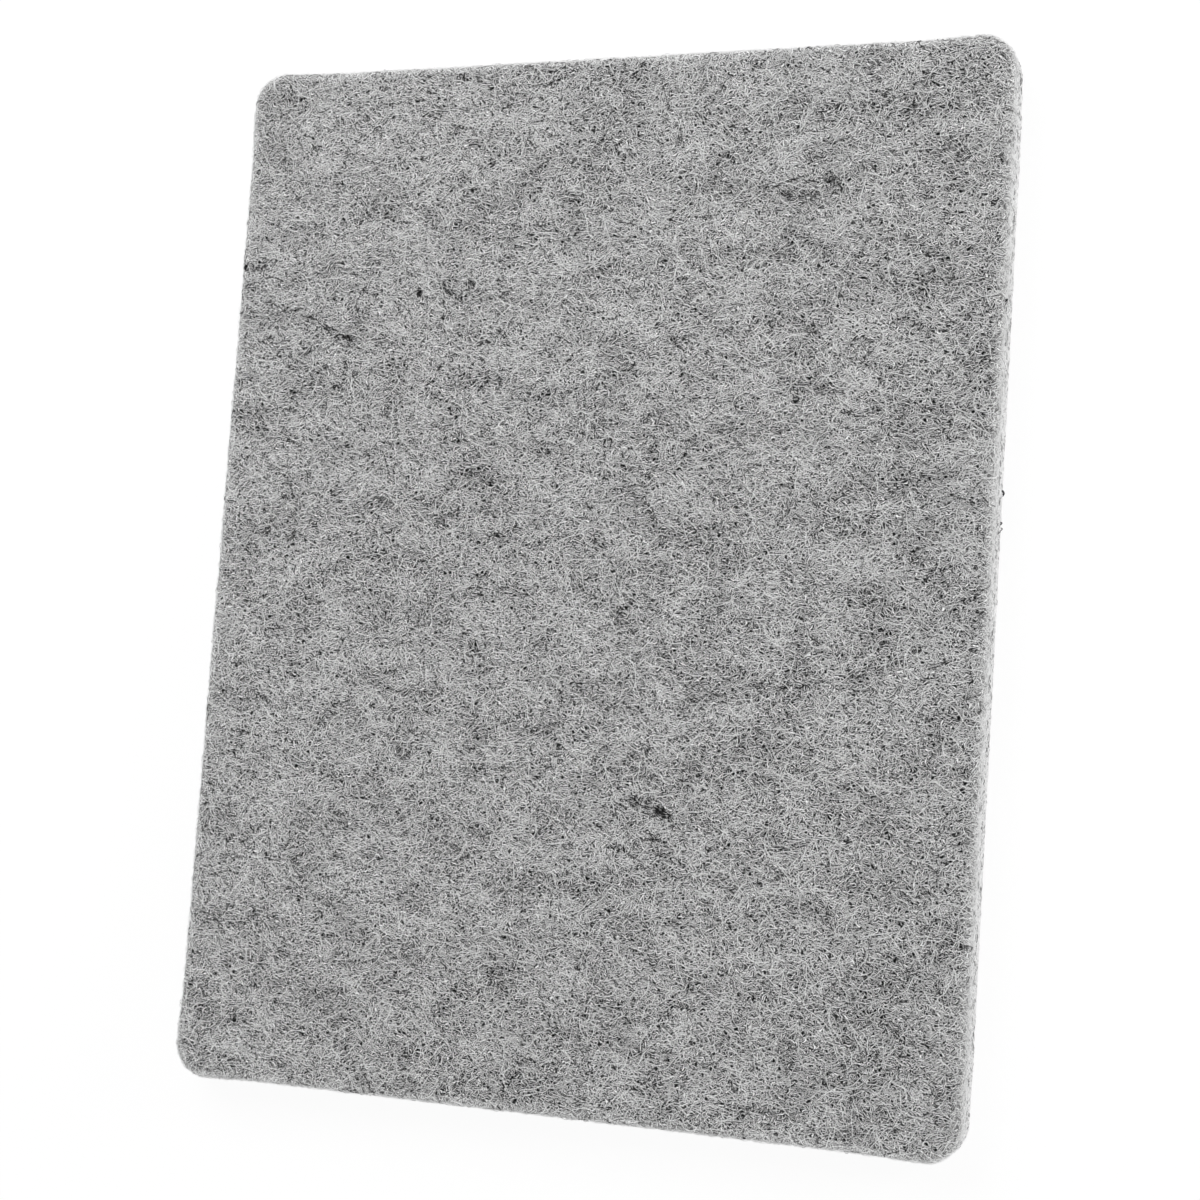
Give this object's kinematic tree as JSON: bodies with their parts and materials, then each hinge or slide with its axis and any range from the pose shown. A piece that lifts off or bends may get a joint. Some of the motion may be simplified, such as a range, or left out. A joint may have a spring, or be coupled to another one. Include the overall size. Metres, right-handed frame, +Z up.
{
  "type": "ironing pad",
  "caption": "Thick rectangular pad of pressed grey wool felt with round corners, built from needle-punched felt plies, laid on a table as a heat-holding surface to iron on.",
  "frame": {"origin": "middle of the underside, where the pad lies on the table", "axes": "+X across the pad, +Y along its length, +Z up through its thickness to the pressing face"},
  "size_m": [0.216, 0.28, 0.0127],
  "materials": {
    "felt_face": "matt pressed wool felt, mid grey, mixed from pale, grey and a few dark fibres",
    "felt_core": "matt pressed wool felt, pale grey where the die-cut edge shows the fibre ends"
  },
  "bodies": {
    "root": {"bottom_ply": "felt_face", "lower_core_ply": "felt_core", "upper_core_ply": "felt_core", "top_ply": "felt_face"}
  },
  "joints": []
}
